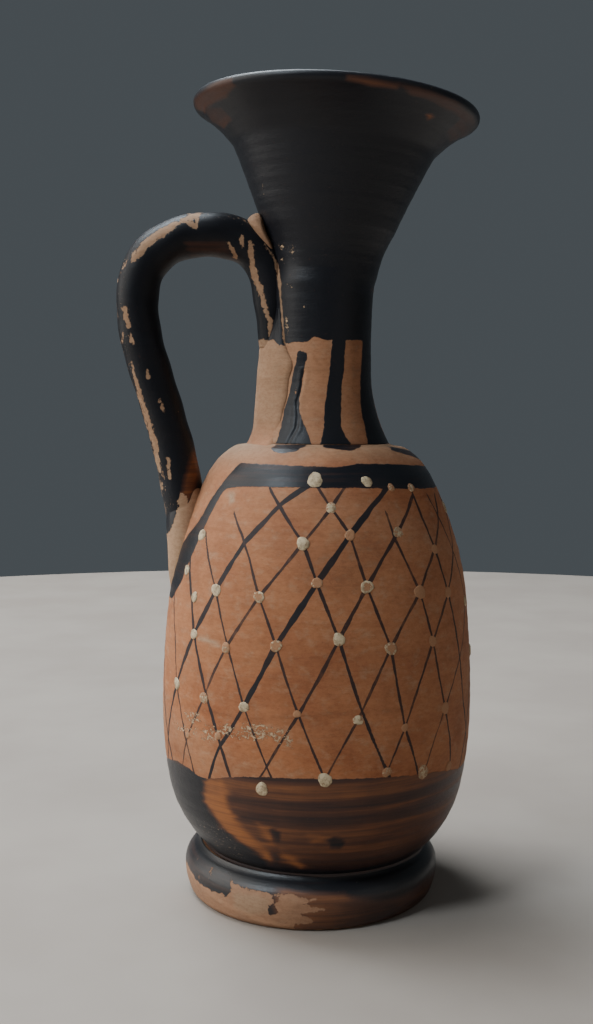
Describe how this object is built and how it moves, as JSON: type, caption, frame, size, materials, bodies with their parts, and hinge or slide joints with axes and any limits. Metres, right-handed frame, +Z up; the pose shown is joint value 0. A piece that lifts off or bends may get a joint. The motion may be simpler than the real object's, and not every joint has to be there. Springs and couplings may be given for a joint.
{
  "type": "lekythos",
  "caption": "Small one-handled oil jug with an egg-shaped body, narrow neck, leaning bell mouth, low ring foot and a painted net pattern with white dabs.",
  "frame": {"origin": "centre of the foot's resting ring on the table", "axes": "+Z up, +X away from the handle, -X towards the handle, +Y to the back of the decorated side"},
  "size_m": [0.0636, 0.0563, 0.1407],
  "materials": {
    "net_painted_clay": "satin",
    "black_gloss": "gloss",
    "banded_black_gloss": "satin",
    "bare_clay": "matte",
    "white_paint": "matte"
  },
  "bodies": {
    "root": {"foot": "black_gloss", "foot_luting_ring": "bare_clay", "body": "net_painted_clay", "neck_luting_ring": "bare_clay", "neck": "banded_black_gloss", "mouth_luting_ring": "bare_clay", "mouth": "black_gloss", "handle": "black_gloss", "upper_handle_wad": "bare_clay", "lower_handle_wad": "bare_clay", "white_dots": "white_paint"}
  },
  "joints": []
}
